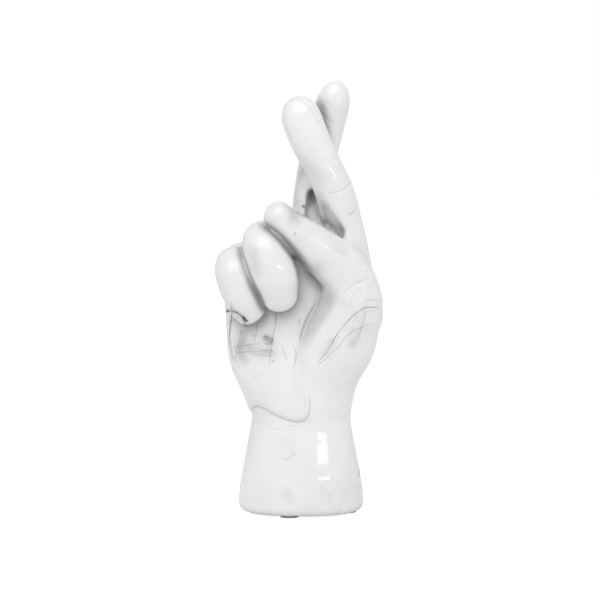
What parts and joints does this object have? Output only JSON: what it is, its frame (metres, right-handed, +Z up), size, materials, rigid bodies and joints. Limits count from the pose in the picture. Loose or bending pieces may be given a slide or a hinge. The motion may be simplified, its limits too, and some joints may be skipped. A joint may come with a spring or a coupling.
{
  "type": "ceramic hand sculpture",
  "caption": "Life-size right hand standing on its flared wrist, crossed fingers raised and the thumb folded over the palm, in glossy white glaze with grey marble veins.",
  "frame": {"origin": "middle of the foot, on the surface that the pads stand on", "axes": "+Z up along the forearm, -Y out of the palm, +X towards the thumb"},
  "size_m": [0.0933, 0.0622, 0.2406],
  "materials": {
    "marble_glaze": "glossy white glaze with fine grey marble veins",
    "pad": "soft grey stick-on pad"
  },
  "bodies": {
    "root": {"wrist_base": "marble_glaze", "palm": "marble_glaze", "thumb": "marble_glaze", "index_finger": "marble_glaze", "middle_finger": "marble_glaze", "ring_finger": "marble_glaze", "little_finger": "marble_glaze", "foot_pad_front": "pad", "foot_pad_right": "pad", "foot_pad_back": "pad", "foot_pad_left": "pad"}
  },
  "joints": []
}
